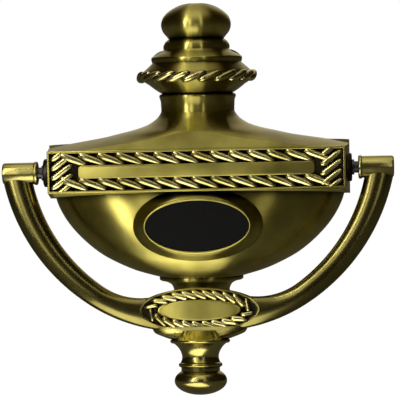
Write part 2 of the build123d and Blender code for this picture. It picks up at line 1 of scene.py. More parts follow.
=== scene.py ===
import math

import bpy
from mathutils import Matrix, Quaternion, Vector
from mathutils.bvhtree import BVHTree


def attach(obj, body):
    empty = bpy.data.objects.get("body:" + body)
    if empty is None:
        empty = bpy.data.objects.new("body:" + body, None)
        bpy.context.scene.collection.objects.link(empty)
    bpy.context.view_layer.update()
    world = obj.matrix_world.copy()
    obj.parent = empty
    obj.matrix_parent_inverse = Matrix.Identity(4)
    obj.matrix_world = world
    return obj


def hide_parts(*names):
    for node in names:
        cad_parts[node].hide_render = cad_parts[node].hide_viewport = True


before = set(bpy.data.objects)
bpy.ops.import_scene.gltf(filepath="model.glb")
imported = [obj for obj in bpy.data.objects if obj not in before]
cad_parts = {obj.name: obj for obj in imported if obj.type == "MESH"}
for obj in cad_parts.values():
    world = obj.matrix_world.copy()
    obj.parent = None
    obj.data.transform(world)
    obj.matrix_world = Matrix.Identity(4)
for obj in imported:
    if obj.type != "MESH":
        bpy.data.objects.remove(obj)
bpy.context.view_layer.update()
scene = bpy.context.scene

# Pieces are modelled in millimetres and brought to metres by keepPiece.


def clearSelection():
    if bpy.context.mode != "OBJECT":
        bpy.ops.object.mode_set(mode="OBJECT")
    bpy.ops.object.select_all(action="DESELECT")


def onlySelect(thing):
    clearSelection()
    thing.select_set(True)
    bpy.context.view_layer.objects.active = thing


squareOn = 0.9  # share of a face's normal from which it counts as facing a way


# Selects the faces whose centre and normal satisfy wanted, in edit mode's face mode
def pickFaces(thing, wanted):
    onlySelect(thing)
    bpy.ops.object.mode_set(mode="EDIT")
    bpy.ops.mesh.select_mode(type="FACE")
    bpy.ops.mesh.select_all(action="DESELECT")
    bpy.ops.object.mode_set(mode="OBJECT")
    for face in thing.data.polygons:
        face.select = wanted(face.center, face.normal)
    bpy.ops.object.mode_set(mode="EDIT")


# Oval rings of (half width, half depth, height), extruded one from the other along Z
def stackRings(name, rings, sides, closed=(True, True)):
    clearSelection()
    wide, deep, high = rings[0]
    bpy.ops.mesh.primitive_circle_add(vertices=sides, radius=1)
    thing = bpy.context.object
    thing.name = name
    bpy.ops.object.mode_set(mode="EDIT")
    bpy.ops.mesh.select_mode(type="EDGE")
    bpy.ops.mesh.select_all(action="SELECT")
    bpy.ops.transform.resize(value=(wide, deep, 1), center_override=(0, 0, 0))
    bpy.ops.transform.translate(value=(0, 0, high))
    if closed[0]:
        bpy.ops.mesh.edge_face_add()
    for nextWide, nextDeep, nextHigh in rings[1:]:
        bpy.ops.mesh.extrude_edges_move(TRANSFORM_OT_translate={"value": (0, 0, nextHigh - high)})
        bpy.ops.transform.resize(
            value=(nextWide / wide, nextDeep / deep, 1), center_override=(0, 0, nextHigh)
        )
        wide, deep, high = nextWide, nextDeep, nextHigh
    if closed[1]:
        bpy.ops.mesh.edge_face_add()
    bpy.ops.mesh.select_all(action="SELECT")
    bpy.ops.mesh.normals_make_consistent(inside=False)
    bpy.ops.object.mode_set(mode="OBJECT")
    return thing


# More points on a smooth line through these ones
def smoothRun(points, steps):
    line = []
    last = len(points) - 1
    for place in range(last):
        before = points[max(place - 1, 0)]
        start, end = points[place], points[place + 1]
        after = points[min(place + 2, last)]
        for step in range(steps):
            t = step / steps
            line.append(tuple(
                0.5 * (2 * b + (c - a) * t + (2 * a - 5 * b + 4 * c - d) * t * t
                       + (3 * b - a - 3 * c + d) * t * t * t)
                for a, b, c, d in zip(before, start, end, after)
            ))
    line.append(points[last])
    return line


# Joins smooth runs; the places where two runs meet stay corners
def roundedProfile(runs, steps):
    line = []
    for run in runs:
        more = smoothRun(run, steps) if len(run) > 2 else list(run)
        line += more if not line else more[1:] if line[-1] == more[0] else more
    return line


# Cuts off what lies beyond a plane
def cutAway(thing, place, direction, fill):
    onlySelect(thing)
    bpy.ops.object.mode_set(mode="EDIT")
    bpy.ops.mesh.select_all(action="SELECT")
    bpy.ops.mesh.bisect(
        plane_co=place, plane_no=direction, use_fill=fill, clear_outer=True, threshold=0.0001
    )
    bpy.ops.object.mode_set(mode="OBJECT")


def skinTree(thing):
    points = [v.co.copy() for v in thing.data.vertices]
    return BVHTree.FromPolygons(points, [tuple(p.vertices) for p in thing.data.polygons])


insideSkin = -0.5  # below this a point counts as lying inside a skin
outsideSkin = 0.6  # above this it counts as lying outside


# Nearest skin to a point: its distance, and how squarely the point lies outside it (1) or inside (-1)
def nearestSkin(trees, point):
    gap, side = 1.0, 1.0
    for tree in trees:
        near, facing, _, reach = tree.find_nearest(point)
        if near is not None and reach < gap:
            gap, side = reach, (point - near).dot(facing) / max(reach, 0.000001)
    return gap, side


# Deletes the faces of a piece that lie deeper than this inside the other skins
def trimInside(thing, others, depth):
    trees = [skinTree(other) for other in others]

    def deepInside(centre, normal):
        for tree in trees:
            gap, side = nearestSkin([tree], centre)
            if gap > depth and side < insideSkin:
                return True
        return False

    pickFaces(thing, deepInside)
    bpy.ops.mesh.delete(type="FACE")
    bpy.ops.object.mode_set(mode="OBJECT")


def bevelEdges(thing, width, segments, angle):
    onlySelect(thing)
    bevel = thing.modifiers.new("edges", "BEVEL")
    bevel.width = width
    bevel.segments = segments
    bevel.limit_method = "ANGLE"
    bevel.angle_limit = math.radians(angle)
    bpy.ops.object.modifier_apply(modifier=bevel.name)


# Turns a piece about a line through centre
def turnUp(thing, degrees, centre, axis="X"):
    onlySelect(thing)
    bpy.ops.object.mode_set(mode="EDIT")
    bpy.ops.mesh.select_all(action="SELECT")
    bpy.ops.transform.rotate(
        value=-math.radians(degrees), orient_axis=axis, center_override=centre
    )
    bpy.ops.object.mode_set(mode="OBJECT")


def joinPieces(name, parts):
    clearSelection()
    for part in parts:
        part.select_set(True)
    bpy.context.view_layer.objects.active = parts[0]
    bpy.ops.object.join()
    parts[0].name = name
    return parts[0]


millimetre = 0.001


# Brings a piece from millimetres to its place in the frame
def keepPiece(thing, body, finish, smoothAngle=32):
    onlySelect(thing)
    thing.scale = (millimetre, millimetre, millimetre)
    bpy.ops.object.transform_apply(location=True, rotation=True, scale=True)
    bpy.ops.object.shade_smooth_by_angle(angle=math.radians(smoothAngle))
    if finish:
        thing.data.materials.clear()
        thing.data.materials.append(finish)
    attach(thing, body)
    return thing


# Finishes

brassLook = {
    "gold": (0.53, 0.46, 0.112, 1),
    "olive": (0.28, 0.235, 0.05, 1),
    # colour of the patina and painted shade in the recesses
    "patinaAndShade": (0.018, 0.014, 0.008, 1),
    "roughness": (0.27, 0.34),
    "brushing": (26, 900, 900),
    "brushingScale": 4.0,
    "cloudScale": 55.0,
    "cloudRange": (0.42, 0.75),
    # occlusion range over which the recesses take the painted shade
    "shadeRange": (0.45, 0.95),
    "bump": (0.02, 0.0002),
    "stretch": 0.98,
    "stretchAlong": (0.0, 0.06, 1.0),
}


def newFinish(name):
    finish = bpy.data.materials.new(name)
    finish.use_nodes = True
    nodes, links = finish.node_tree.nodes, finish.node_tree.links
    shader = nodes["Principled BSDF"]
    return finish, nodes, links, shader


def addNode(nodes, kind, **settings):
    node = nodes.new(kind)
    for key, value in settings.items():
        setattr(node, key, value)
    return node


# Antique brass: fine brushing, cloudy olive tone, and patina with painted shade darkening the recesses
def makeBrass(name, look, shadeReach):
    finish, nodes, links, shader = newFinish(name)
    place = addNode(nodes, "ShaderNodeTexCoord")
    stretch = addNode(nodes, "ShaderNodeMapping")
    stretch.inputs["Scale"].default_value = look["brushing"]
    links.new(place.outputs["Object"], stretch.inputs["Vector"])
    brushing = addNode(nodes, "ShaderNodeTexNoise")
    brushing.inputs["Scale"].default_value = look["brushingScale"]
    brushing.inputs["Detail"].default_value = 4.0
    links.new(stretch.outputs["Vector"], brushing.inputs["Vector"])
    clouds = addNode(nodes, "ShaderNodeTexNoise")
    clouds.inputs["Scale"].default_value = look["cloudScale"]
    clouds.inputs["Detail"].default_value = 3.0
    links.new(place.outputs["Object"], clouds.inputs["Vector"])

    tone = addNode(nodes, "ShaderNodeMix", data_type="RGBA")
    tone.inputs["A"].default_value = look["gold"]
    tone.inputs["B"].default_value = look["olive"]
    cloudRamp = addNode(nodes, "ShaderNodeMapRange")
    cloudRamp.inputs["From Min"].default_value = look["cloudRange"][0]
    cloudRamp.inputs["From Max"].default_value = look["cloudRange"][1]
    links.new(clouds.outputs["Fac"], cloudRamp.inputs["Value"])
    links.new(cloudRamp.outputs["Result"], tone.inputs["Factor"])

    # painted shade: corners that ambient occlusion finds shaded are darkened towards the patina colour,
    # real patina and painted shade in one
    shadedCorners = addNode(nodes, "ShaderNodeAmbientOcclusion", samples=8)
    shadedCorners.inputs["Distance"].default_value = shadeReach
    depth = addNode(nodes, "ShaderNodeMapRange")
    depth.inputs["From Min"].default_value = look["shadeRange"][0]
    depth.inputs["From Max"].default_value = look["shadeRange"][1]
    depth.inputs["To Min"].default_value = 1.0
    depth.inputs["To Max"].default_value = 0.0
    links.new(shadedCorners.outputs["AO"], depth.inputs["Value"])
    patinaAndShade = addNode(nodes, "ShaderNodeMix", data_type="RGBA")
    patinaAndShade.inputs["B"].default_value = look["patinaAndShade"]
    links.new(depth.outputs["Result"], patinaAndShade.inputs["Factor"])
    links.new(tone.outputs["Result"], patinaAndShade.inputs["A"])
    links.new(patinaAndShade.outputs["Result"], shader.inputs["Base Color"])

    rough = addNode(nodes, "ShaderNodeMapRange")
    rough.inputs["To Min"].default_value = look["roughness"][0]
    rough.inputs["To Max"].default_value = look["roughness"][1]
    links.new(brushing.outputs["Fac"], rough.inputs["Value"])
    links.new(rough.outputs["Result"], shader.inputs["Roughness"])
    bump = addNode(nodes, "ShaderNodeBump")
    bump.inputs["Strength"].default_value = look["bump"][0]
    bump.inputs["Distance"].default_value = look["bump"][1]
    links.new(brushing.outputs["Fac"], bump.inputs["Height"])
    links.new(bump.outputs["Normal"], shader.inputs["Normal"])
    shader.inputs["Metallic"].default_value = 1.0

    # brushed along X, so the highlights run up and down
    upward = addNode(nodes, "ShaderNodeVectorTransform", vector_type="VECTOR")
    upward.convert_from, upward.convert_to = "OBJECT", "WORLD"
    upward.inputs["Vector"].default_value = look["stretchAlong"]
    links.new(upward.outputs["Vector"], shader.inputs["Tangent"])
    shader.inputs["Anisotropic"].default_value = look["stretch"]
    return finish


# A plain finish with a faint grain in its roughness and colour
def makePlain(name, colour, metallic, roughness, grain):
    finish, nodes, links, shader = newFinish(name)
    place = addNode(nodes, "ShaderNodeTexCoord")
    specks = addNode(nodes, "ShaderNodeTexNoise")
    specks.inputs["Scale"].default_value = grain
    links.new(place.outputs["Object"], specks.inputs["Vector"])
    rough = addNode(nodes, "ShaderNodeMapRange")
    rough.inputs["To Min"].default_value = roughness[0]
    rough.inputs["To Max"].default_value = roughness[1]
    links.new(specks.outputs["Fac"], rough.inputs["Value"])
    links.new(rough.outputs["Result"], shader.inputs["Roughness"])
    tone = addNode(nodes, "ShaderNodeMix", data_type="RGBA")
    tone.inputs["A"].default_value = colour
    tone.inputs["B"].default_value = tuple(0.8 * part for part in colour[:3]) + (1,)
    links.new(specks.outputs["Fac"], tone.inputs["Factor"])
    links.new(tone.outputs["Result"], shader.inputs["Base Color"])
    shader.inputs["Metallic"].default_value = metallic
    return finish, shader


antiqueBrass = makeBrass("antiqueBrass", brassLook, 0.004)
ropeBrass = makeBrass("ropeBrass", {
    **brassLook, "gold": (0.74, 0.66, 0.28, 1), "roughness": (0.20, 0.30), "stretch": 0.0,
}, 0.0022)
turnedBrass = makeBrass("turnedBrass", {
    **brassLook, "gold": (0.42, 0.365, 0.11, 1), "olive": (0.26, 0.22, 0.055, 1),
    "roughness": (0.20, 0.26), "stretch": 0.0, "brushing": (60, 60, 60),
}, 0.004)
# painted shade: the bow's brass is a darker copy of the same brass, its colour lowered for the light the
# bow does not catch
shadedBowBrass = makeBrass("shadedBowBrass", {
    **brassLook, "gold": (0.22, 0.188, 0.055, 1), "olive": (0.13, 0.11, 0.028, 1),
    "roughness": (0.19, 0.24), "stretch": 0.0, "brushing": (60, 60, 60),
}, 0.006)
# painted shade: a near-black copy of the brass, put on parts and sunk fields that sit in shade
shadeBrass = makeBrass("shadeBrass", {
    **brassLook, "gold": (0.03, 0.024, 0.012, 1), "olive": (0.02, 0.016, 0.008, 1),
}, 0.004)
viewerBrass, _ = makePlain("viewerBrass", (0.60, 0.49, 0.17, 1), 1.0, (0.22, 0.36), 900)
roughCast, _ = makePlain("roughCast", (0.20, 0.165, 0.06, 1), 1.0, (0.42, 0.58), 500)
darkSteel, _ = makePlain("darkSteel", (0.075, 0.075, 0.078, 1), 1.0, (0.30, 0.45), 700)
tintedPane, paneShader = makePlain("tintedPane", (0.0075, 0.0075, 0.0075, 1), 0.0, (0.30, 0.36), 400)
paneShader.inputs["Specular IOR Level"].default_value = 0.12  # a dull pane, with hardly any gloss
lensGlass, glassShader = makePlain("lensGlass", (0.92, 0.96, 0.95, 1), 0.0, (0.02, 0.04), 300)
glassShader.inputs["Transmission Weight"].default_value = 1.0
print("finishes made")

# Crown and roof: knob, collar, dish, rope ring, neck and the trumpet roof

crown = {
    "knob": (13.8, 8.4, 77.8),  # radius, half height, middle
    "collar": [(11.3, 71.9), (12.3, 71.0), (12.8, 69.6), (12.9, 68.2)],
    "underCollar": [(12.9, 68.2), (13.6, 67.4), (15.4, 66.5), (17.2, 65.5)],
    "bead": [(17.2, 65.5), (17.85, 65.0), (17.9, 64.0), (17.5, 63.0)],
    "dish": [(17.5, 63.0), (19.0, 61.4), (20.6, 59.8), (21.2, 58.9)],
    "ring": [(22.3, 58.7), (22.75, 58.2), (22.8, 57.4), (22.3, 56.6)],
    "cup": [(20.9, 56.3), (19.6, 54.9), (17.2, 52.9), (15.0, 51.4), (13.9, 50.8)],
    "lip": [(13.9, 50.8), (14.8, 50.5), (15.1, 49.8), (14.9, 48.9)],
    "neck": [(14.9, 48.9), (14.4, 46.6), (14.5, 43.7)],
    "sides": 192,
}
roof = {
    "sections": [
        (14.5, 14.5, 43.7),
        (16.2, 16.6, 41.2),
        (20.5, 20.6, 38.4),
        (27.0, 24.0, 36.4),
        (36.5, 26.0, 34.2),
        (51.0, 29.6, 31.8),
        (64.5, 36.0, 29.2),
    ],
    "front": -23.8,
    "ends": (57.4, 59.5),
    "depth": 24.0,
    "underside": 29.3,
}


def makeCrown():
    radius, half, middle = crown["knob"]
    knob = [
        (radius * math.cos(math.radians(a)), middle + half * math.sin(math.radians(a)))
        for a in [*range(88, -25, -8), -30, -36, -40]
    ]
    names = ("collar", "underCollar", "bead", "dish", "ring", "cup", "lip", "neck")
    line = knob + crown["collar"][:1] + roundedProfile([crown[name] for name in names], 4)
    rings = [(r, r, z) for r, z in line]
    shoulder = smoothRun(roof["sections"], 8)
    rings += shoulder[1:]
    thing = stackRings("crownAndRoof", rings, crown["sides"])
    cutAway(thing, (0, roof["front"], 0), (0, -1, 0), True)
    front, back = roof["ends"]
    slope = (back - front) / roof["depth"]
    for side in (-1, 1):
        direction = Vector((side, -slope, 0)).normalized()
        cutAway(thing, (side * back, 0, 0), direction, True)
    # open below, over the hollow box
    pickFaces(thing, lambda centre, normal: normal.z < -squareOn and centre.z < roof["underside"])
    bpy.ops.mesh.delete(type="FACE")
    bpy.ops.object.mode_set(mode="OBJECT")
    cutAway(thing, (0, 0, 0), (0, 1, 0), False)
    return thing


crownAndRoof = makeCrown()
keepPiece(crownAndRoof, "urn", antiqueBrass)
print("crown and roof made")

# Frieze box: the border, the sunk field and the bare name bar

frieze = {
    "front": (57.4, 13.5, 29.8),
    "back": (59.5, 10.2, 29.8),
    "depth": 24.0,
    "border": 0.9,
    "recess": 1.6,
    "edge": 0.22,
    "bevelAngle": 40,
    "cuts": 63,
    "fineFrom": -22,
    "fieldTo": -10,
    "opening": (54.4, -21, 29),  # half width, from this depth, above this height
    "bar": (91.0, 5.1, 1.7),  # length, height, corner
    "barFront": 24.2,
    "barBack": 21.5,
    "barEdge": 0.35,
    "middle": 21.65,
}


# Gives a piece's chosen faces a second finish: the near-black brass, painted shade for a sunk field
# together with its patina
def shadeFaces(thing, wanted):
    thing.data.materials.append(antiqueBrass)
    thing.data.materials.append(shadeBrass)
    pickFaces(thing, wanted)
    thing.active_material_index = 1
    bpy.ops.object.material_slot_assign()
    bpy.ops.object.mode_set(mode="OBJECT")


def makeFrieze():
    clearSelection()
    bpy.ops.mesh.primitive_cube_add(size=2)
    box = bpy.context.object
    halfFront, lowFront, top = frieze["front"]
    halfBack, lowBack, _ = frieze["back"]
    for corner in box.data.vertices:
        atFront = corner.co.y < 0
        half, low = (halfFront, lowFront) if atFront else (halfBack, lowBack)
        corner.co.x *= half
        corner.co.y = -frieze["depth"] if atFront else 0.0
        corner.co.z = top if corner.co.z > 0 else low
    pickFaces(box, lambda centre, normal: normal.y < -squareOn)
    bpy.ops.mesh.inset(thickness=frieze["border"])
    bpy.ops.mesh.extrude_region_move(TRANSFORM_OT_translate={"value": (0, frieze["recess"], 0)})
    bpy.ops.object.mode_set(mode="OBJECT")
    bevelEdges(box, frieze["edge"], 3, frieze["bevelAngle"])
    cutAway(box, (0, 0, 0), (0, 1, 0), False)
    pickFaces(box, lambda centre, normal: normal.y > squareOn and centre.y > -0.5)
    bpy.ops.mesh.delete(type="FACE")
    bpy.ops.object.mode_set(mode="OBJECT")
    # top and underside in small faces, so that what lies inside the casting can be taken out
    pickFaces(box, lambda centre, normal: abs(normal.z) > squareOn and centre.y > frieze["fineFrom"])
    bpy.ops.mesh.subdivide(number_cuts=frieze["cuts"])
    bpy.ops.object.mode_set(mode="OBJECT")
    halfOpen, openFrom, openAbove = frieze["opening"]

    def underRoof(centre, normal):
        inside = centre.y > openFrom and abs(centre.x) < halfOpen
        return normal.z > squareOn and centre.z > openAbove and inside

    pickFaces(box, underRoof)
    bpy.ops.mesh.delete(type="FACE")
    bpy.ops.object.mode_set(mode="OBJECT")
    sunk = 0.5 * frieze["recess"] - frieze["depth"]
    # painted shade: the sunk field behind the rope strands gets the near-black brass, together with its
    # patina
    shadeFaces(box, lambda centre, normal: normal.y < -squareOn and sunk < centre.y < frieze["fieldTo"])

    clearSelection()
    long, high, corner = frieze["bar"]
    front, back = frieze["barFront"], frieze["barBack"]
    bpy.ops.mesh.primitive_cube_add(size=1, location=(0, -(front + back) / 2, frieze["middle"]))
    bar = bpy.context.object
    bar.scale = (long, front - back, high)
    bpy.ops.object.transform_apply(location=True, rotation=False, scale=True)
    onlySelect(bar)
    bpy.ops.object.mode_set(mode="EDIT")
    bpy.ops.mesh.select_mode(type="EDGE")
    bpy.ops.mesh.select_all(action="DESELECT")
    bpy.ops.object.mode_set(mode="OBJECT")
    for edge in bar.data.edges:
        one, two = [bar.data.vertices[i].co for i in edge.vertices]
        edge.select = abs(one.y - two.y) > 0.5  # the four that run into the depth
    bpy.ops.object.mode_set(mode="EDIT")
    bpy.ops.mesh.bevel(offset=corner, segments=8)
    bpy.ops.object.mode_set(mode="OBJECT")
    bevelEdges(bar, frieze["barEdge"], 4, frieze["bevelAngle"])
    return box, bar


friezeBox, nameBar = makeFrieze()
keepPiece(friezeBox, "urn", None)
keepPiece(nameBar, "urn", antiqueBrass)
friezeBox.name = "friezeBox"
nameBar.name = "nameBar"
print("frieze made")

# Rope strands, modelled once and copied

strandForm = {"rings": 18, "sides": 14, "fullness": 4.2, "taper": 0.15, "tip": 0.05, "swayTurns": 1.6}


# One strand along X, full in the middle, with one end thicker than the other
def makeStrand(name, length, width, height, sway):
    rings = []
    count = strandForm["rings"]
    for step in range(count + 1):
        t = -1 + 2 * step / count
        swell = max(1 - abs(t) ** strandForm["fullness"], 0.0) ** 0.5
        blunt = 1.0 - strandForm["taper"] * t
        size = max(swell * blunt, strandForm["tip"])
        rings.append((height * size, width / 2 * size, t * length / 2))
    strand = stackRings(name, rings, strandForm["sides"])
    turnUp(strand, 90, (0, 0, 0), "Y")
    for point in strand.data.vertices:
        point.co.y += sway * math.sin(math.pi * point.co.x / length * strandForm["swayTurns"])
    return strand


# A copy of the strand on the front: turn is in the front plane, facing is about Z
def layStrand(strand, place, turn, facing=0.0):
    copy = strand.copy()
    copy.data = strand.data.copy()
    scene.collection.objects.link(copy)
    turnUp(copy, 90, (0, 0, 0), "X")
    turnUp(copy, turn, (0, 0, 0), "Y")
    if facing:
        turnUp(copy, facing, (0, 0, 0), "Z")
    copy.data.transform(Matrix.Translation(place))
    return copy


rope = {
    "rows": {
        "count": 14, "pitch": 7.25, "slope": 28, "length": 13.2,
        "width": 3.4, "height": 1.7, "sway": 0.35, "rise": 4.75,
    },
    "columns": {
        "count": 5, "pitch": 3.7, "slope": 31, "length": 11.0,
        "width": 2.9, "height": 1.65, "sway": 0.25, "inset": 5.4,
    },
    "base": -22.4,
    "behind": 0.1,
    "inside": 0.5,
    "halfLength": 56.9,
}


def ropeStrand(name, look):
    return makeStrand(name, look["length"], look["width"], look["height"], look["sway"])


def makeFriezeRope():
    strands = []
    rows, columns = rope["rows"], rope["columns"]
    rowStrand = ropeStrand("rowStrand", rows)
    for side in (-1, 1):
        for number in range(rows["count"]):
            x = (number - (rows["count"] - 1) / 2) * rows["pitch"]
            place = (x, rope["base"], frieze["middle"] + side * rows["rise"])
            strands.append(layStrand(rowStrand, place, rows["slope"]))
    columnStrand = ropeStrand("columnStrand", columns)
    for side in (-1, 1):
        for number in range(columns["count"]):
            z = frieze["middle"] + (number - (columns["count"] - 1) / 2) * columns["pitch"]
            place = (side * (frieze["front"][0] - columns["inset"]), rope["base"], z)
            strands.append(layStrand(columnStrand, place, -columns["slope"]))
    for spare in (rowStrand, columnStrand):
        bpy.data.objects.remove(spare)
    ropes = joinPieces("friezeRope", strands)
    # trimmed to the sunk field
    low, high = frieze["front"][1] + rope["inside"], frieze["front"][2] - rope["inside"]
    cutAway(ropes, (0, 0, high), (0, 0, 1), True)
    cutAway(ropes, (0, 0, low), (0, 0, -1), True)
    for side in (1, -1):
        cutAway(ropes, (side * rope["halfLength"], 0, 0), (side, 0, 0), True)
    cutAway(ropes, (0, rope["base"] + rope["behind"], 0), (0, 1, 0), True)
    return ropes


friezeRope = makeFriezeRope()
keepPiece(friezeRope, "urn", ropeBrass, 60)
print("frieze rope made")

ringRope = {
    "count": 11, "radius": 22.3, "level": 57.6, "slope": 16, "length": 10.5,
    "width": 2.7, "height": 1.6, "sway": 0.2,
}


def makeRingRope():
    strand = ropeStrand("ringStrand", ringRope)
    for point in strand.data.vertices:  # wraps the strand round the ring
        point.co.z -= point.co.x ** 2 / (2 * ringRope["radius"])
    strands = []
    for number in range(ringRope["count"]):
        angle = 180 * (number - (ringRope["count"] - 1) / 2) / ringRope["count"]
        around = math.radians(angle)
        place = (
            ringRope["radius"] * math.sin(around),
            -ringRope["radius"] * math.cos(around),
            ringRope["level"],
        )
        strands.append(layStrand(strand, place, -ringRope["slope"], angle))
    bpy.data.objects.remove(strand)
    ropes = joinPieces("ringRope", strands)
    cutAway(ropes, (0, 0, 0), (0, 1, 0), True)
    return ropes


ropeRing = makeRingRope()
keepPiece(ropeRing, "urn", ropeBrass, 60)
print("rope ring made")

# Bowl and foot

bowl = {
    "sections": [
        (57.6, 19.0, 17.0),
        (57.2, 19.6, 10.4),
        (54.6, 20.4, 4.0),
        (50.2, 21.0, -2.4),
        (43.9, 21.1, -8.7),
        (37.1, 20.3, -13.6),
        (27.6, 17.2, -18.2),
        (20.1, 13.6, -20.6),
        (17.1, 13.3, -21.3),
    ],
    "ledge": [(16.5, -21.3), (16.7, -21.8), (16.6, -22.7), (16.2, -23.1)],
    "waist": [
        (15.6, -23.1), (13.2, -24.0), (11.6, -25.3), (11.1, -27.0),
        (11.4, -28.8), (12.6, -30.3), (14.6, -31.5),
    ],
    "base": [(14.6, -31.5), (15.0, -31.9), (15.0, -33.5), (15.0, -37.6), (14.6, -38.2)],
    "flat": 0.78,
    "top": 14.8,
    "sides": 192,
}


def makeBowl():
    rings = smoothRun(bowl["sections"], 8)
    flat = bowl["flat"]
    line = roundedProfile([bowl["ledge"], bowl["waist"], bowl["base"]], 4)
    rings += [(r, r * flat, z) for r, z in line]
    thing = stackRings("bowlAndFoot", rings, bowl["sides"], (False, True))
    cutAway(thing, (0, 0, bowl["top"]), (0, 0, 1), False)
    cutAway(thing, (0, 0, 0), (0, 1, 0), False)
    return thing


bowlAndFoot = makeBowl()
keepPiece(bowlAndFoot, "urn", antiqueBrass)
print("bowl and foot made")

# Oval boss round the viewer window

boss = {
    "window": (19.8, 9.8),
    "flank": [(10.35, 11.2), (9.3, 12.7), (6.5, 16.7), (3.7, 20.7), (1.9, 23.3), (1.2, 24.0)],
    "rings": [
        (1.2, 24.0), (1.02, 24.4), (0.85, 24.6), (0.5, 24.7), (0.28, 24.65), (0.12, 24.45), (0.05, 24.2),
        (0.02, 23.4),
    ],
    "sides": 144,
}


def makeBoss():
    wide, high = boss["window"]
    line = smoothRun(boss["flank"], 6)[:-1] + boss["rings"]
    rings = [(wide + grow, high + grow, out) for grow, out in line]
    thing = stackRings("windowBoss", rings, boss["sides"], (False, False))
    turnUp(thing, 90, (0, 0, 0), "X")
    return thing


windowBoss = makeBoss()
keepPiece(windowBoss, "urn", antiqueBrass, 50)
# the last number is in metres: what lies deeper inside the other skin goes
trimInside(windowBoss, [bowlAndFoot, friezeBox], 0.0016)
trimInside(friezeBox, [bowlAndFoot], 0.0018)
print("window boss made")

# Bosses at the ends of the box, round the pivot pins

pivot = {
    "y": -13.0, "z": 21.0, "bore": 2.35,
    "bossRadius": 5.5, "bossFrom": 54.0, "bossFace": 60.0, "bossEdge": (0.5, 0.15), "sides": 64,
}


def makePivotBosses():
    parts = []
    start, face, out, bore = pivot["bossFrom"], pivot["bossFace"], pivot["bossRadius"], pivot["bore"]
    wide, fine = pivot["bossEdge"]
    line = [
        (out, start), (out, face - wide), (out - fine, face - fine), (out - wide, face),
        (bore, face), (bore, start),
    ]
    for side in (-1, 1):
        part = stackRings("pivotBoss", [(r, r, x) for r, x in line], pivot["sides"], (False, False))
        turnUp(part, 90 * side, (0, 0, 0), "Y")
        part.data.transform(Matrix.Translation((0, pivot["y"], pivot["z"])))
        parts.append(part)
    return joinPieces("pivotBosses", parts)


pivotBosses = makePivotBosses()
# painted shade: the pivot bosses get the near-black brass, standing for the shade at the box ends
keepPiece(pivotBosses, "urn", shadeBrass)
print("pivot bosses made")

# Back of the casting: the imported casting's own hollow side and rim. Lengths are in metres here.

hollow = {
    "weld": 0.000002,
    "rim": -0.00002,
    "nearSkin": 0.0011,
    "nearOrnament": 0.0009,
    "behindFrieze": (0.0572, -0.0222, 0.0105, 0.0296),  # half width, front, low, high
    "insideReach": 0.012,
    "outsideReach": 0.004,
    "smallPatch": 40,
}


def makeHollowBack(skins, ornaments):
    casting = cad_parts["urn_body"]
    onlySelect(casting)
    copy = casting.copy()
    copy.data = casting.data.copy()
    copy.parent = None
    copy.name = "urnHollow"
    scene.collection.objects.link(copy)
    for key in list(copy.keys()):
        del copy[key]
    onlySelect(copy)
    bpy.ops.mesh.customdata_custom_splitnormals_clear()
    bpy.ops.object.mode_set(mode="EDIT")
    bpy.ops.mesh.select_all(action="SELECT")
    bpy.ops.mesh.remove_doubles(threshold=hollow["weld"])
    bpy.ops.object.mode_set(mode="OBJECT")
    trees = [skinTree(skin) for skin in skins]
    fineTrees = [skinTree(ornament) for ornament in ornaments]

    # true for the faces whose place a modelled skin takes
    def underSkin(centre, normal):
        if centre.y > hollow["rim"]:
            return False
        if nearestSkin(trees, centre)[0] < hollow["nearSkin"]:
            return True
        if nearestSkin(fineTrees, centre)[0] < hollow["nearOrnament"]:
            return True
        halfWidth, front, low, high = hollow["behindFrieze"]
        if abs(centre.x) < halfWidth and centre.y > front and low < centre.z < high:
            return False
        nearBy = [nearestSkin([tree], centre) for tree in trees]
        if any(side < insideSkin and gap < hollow["insideReach"] for gap, side in nearBy):
            return False
        return any(side > outsideSkin and gap < hollow["outsideReach"] for gap, side in nearBy)

    pickFaces(copy, underSkin)
    bpy.ops.object.mode_set(mode="OBJECT")
    # a small patch among kept faces belongs to the hollow side
    faces = copy.data.polygons
    beside = {}
    for face in faces:
        for edge in face.edge_keys:
            beside.setdefault(edge, []).append(face.index)
    left = {face.index for face in faces if face.select}
    while left:
        patch, ahead = [], [left.pop()]
        while ahead:
            index = ahead.pop()
            patch.append(index)
            joined = {other for edge in faces[index].edge_keys for other in beside[edge]} & left
            left -= joined
            ahead += sorted(joined)
        if len(patch) < hollow["smallPatch"]:
            for index in patch:
                faces[index].select = False
    bpy.ops.object.mode_set(mode="EDIT")
    bpy.ops.mesh.select_mode(type="FACE")
    bpy.ops.mesh.delete(type="FACE")
    bpy.ops.object.mode_set(mode="OBJECT")
    return copy


urnSkins = [crownAndRoof, friezeBox, bowlAndFoot, windowBoss, pivotBosses]
urnOrnaments = [nameBar, friezeRope, ropeRing]
urnHollow = makeHollowBack(urnSkins, urnOrnaments)
urnHollow.data.materials.clear()
urnHollow.data.materials.append(roughCast)
onlySelect(urnHollow)
bpy.ops.object.shade_smooth_by_angle(angle=math.radians(30))
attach(urnHollow, "urn")
for piece in (
    crownAndRoof, friezeBox, nameBar, friezeRope, ropeRing, bowlAndFoot, windowBoss, pivotBosses, urnHollow,
):
    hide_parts("urn_body")
print("hollow back kept")

# Knocker arm: bow, barrels, oval with its rope, dish and lower finial

arm = {
    "lean": 6.0,
    "radius": 72.0,
    "centre": 32.7,
    "startHeight": 18.6,
    "endAngle": 78.0,
    "halfWidth": (5.4, 3.8),  # at the barrels and at the oval
    "back": 3.2,
    "side": 0.8,
    "crown": (3.4, 4.0),
    "steps": 64,
    "flareAngle": 56.0,
    "flare": 3.6,
    "flareShift": 4.4,
    "flareCrown": 1.0,
}
leanOf = math.radians(arm["lean"])


# The height on the upright arm that comes to z once the arm leans forward
def upright(z):
    return pivot["z"] - (pivot["z"] - z) / math.cos(leanOf)


